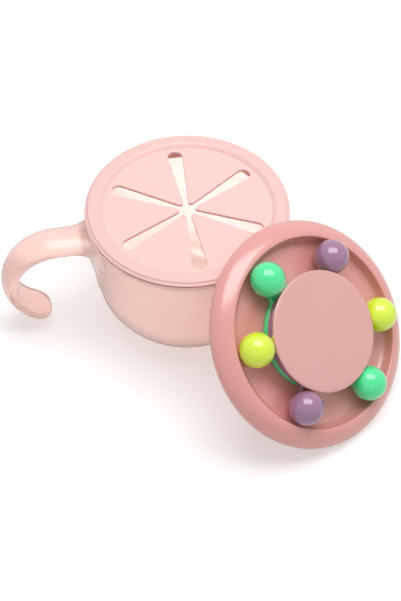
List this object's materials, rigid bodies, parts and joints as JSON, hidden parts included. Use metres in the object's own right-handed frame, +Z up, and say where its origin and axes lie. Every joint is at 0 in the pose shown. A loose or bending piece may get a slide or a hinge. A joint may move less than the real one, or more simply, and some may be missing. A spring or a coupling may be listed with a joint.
{
  "type": "toddler snack container",
  "caption": "Cup with a hook handle and a soft star-cut snack lid; its removable lid leans on the rim and carries spinning rings with balls.",
  "frame": {"origin": "centre of the cup's flat base, on the surface that it stands on", "axes": "+Z up along the cup's axis; the handle points towards -X, turned 10 degrees towards -Y; the spinner lid leans on the rim towards +X and -Y"},
  "size_m": [0.1878, 0.1487, 0.0782],
  "materials": {
    "cup": "translucent, satin",
    "lid_ring": "satin",
    "membrane": "soft matte",
    "spinner_lid": "gloss",
    "hub_cap": "satin",
    "green": "gloss",
    "purple": "gloss",
    "yellow": "gloss"
  },
  "bodies": {
    "cup": {"cup": "cup"},
    "snack_lid": {"snack_lid_ring": "lid_ring", "snack_lid_membrane": "membrane"},
    "petal_1": {"petal_1": "membrane"},
    "petal_2": {"petal_2": "membrane"},
    "petal_3": {"petal_3": "membrane"},
    "petal_4": {"petal_4": "membrane"},
    "petal_5": {"petal_5": "membrane"},
    "petal_6": {"petal_6": "membrane"},
    "spinner_lid": {"spinner_lid_shell": "spinner_lid", "hub_cap": "hub_cap"},
    "green_spinner": {"ring_green": "green", "ball_top_green_a": "green", "ball_top_green_b": "green"},
    "purple_spinner": {"ring_purple": "purple", "ball_top_purple_a": "purple", "ball_top_purple_b": "purple"},
    "yellow_spinner": {"ring_yellow": "yellow", "ball_top_yellow_a": "yellow", "ball_top_yellow_b": "yellow"}
  },
  "joints": [
    {"name": "snack_lid_lift", "type": "slide", "parent": "cup", "child": "snack_lid", "axis": [0, 0, 1], "range_m": [0, 0.06]},
    {"name": "petal_1_bend", "type": "hinge", "parent": "snack_lid", "child": "petal_1", "pos_m": [0.01013, 0.02783, 0.0643], "axis": [-0.9397, 0.342, 0], "range_deg": [-65, 40], "stiffness_Nm_per_rad": 0.02},
    {"name": "petal_2_bend", "type": "hinge", "parent": "snack_lid", "child": "petal_2", "pos_m": [-0.01904, 0.02269, 0.0643], "axis": [-0.766, -0.6428, 0], "range_deg": [-65, 40], "stiffness_Nm_per_rad": 0.02},
    {"name": "petal_3_bend", "type": "hinge", "parent": "snack_lid", "child": "petal_3", "pos_m": [-0.02917, -0.00514, 0.0643], "axis": [0.1736, -0.9848, 0], "range_deg": [-65, 40], "stiffness_Nm_per_rad": 0.02},
    {"name": "petal_4_bend", "type": "hinge", "parent": "snack_lid", "child": "petal_4", "pos_m": [-0.01013, -0.02783, 0.0643], "axis": [0.9397, -0.342, 0], "range_deg": [-65, 40], "stiffness_Nm_per_rad": 0.02},
    {"name": "petal_5_bend", "type": "hinge", "parent": "snack_lid", "child": "petal_5", "pos_m": [0.01904, -0.02269, 0.0643], "axis": [0.766, 0.6428, 0], "range_deg": [-65, 40], "stiffness_Nm_per_rad": 0.02},
    {"name": "petal_6_bend", "type": "hinge", "parent": "snack_lid", "child": "petal_6", "pos_m": [0.02917, 0.00514, 0.0643], "axis": [-0.1736, 0.9848, 0], "range_deg": [-65, 40], "stiffness_Nm_per_rad": 0.02},
    {"name": "spinner_lid_lift", "type": "slide", "parent": "snack_lid", "child": "spinner_lid", "axis": [0.5377, -0.4592, 0.7071], "range_m": [0, 0.12]},
    {"name": "green_spin", "type": "hinge", "parent": "spinner_lid", "child": "green_spinner", "pos_m": [0.05893, -0.05671, 0.04351], "axis": [0.5377, -0.4592, 0.7071], "continuous": true},
    {"name": "purple_spin", "type": "hinge", "parent": "green_spinner", "child": "purple_spinner", "pos_m": [0.05893, -0.05671, 0.04351], "axis": [0.5377, -0.4592, 0.7071], "range_deg": [-17, 36]},
    {"name": "yellow_spin", "type": "hinge", "parent": "green_spinner", "child": "yellow_spinner", "pos_m": [0.05893, -0.05671, 0.04351], "axis": [0.5377, -0.4592, 0.7071], "range_deg": [-27, 17]}
  ]
}
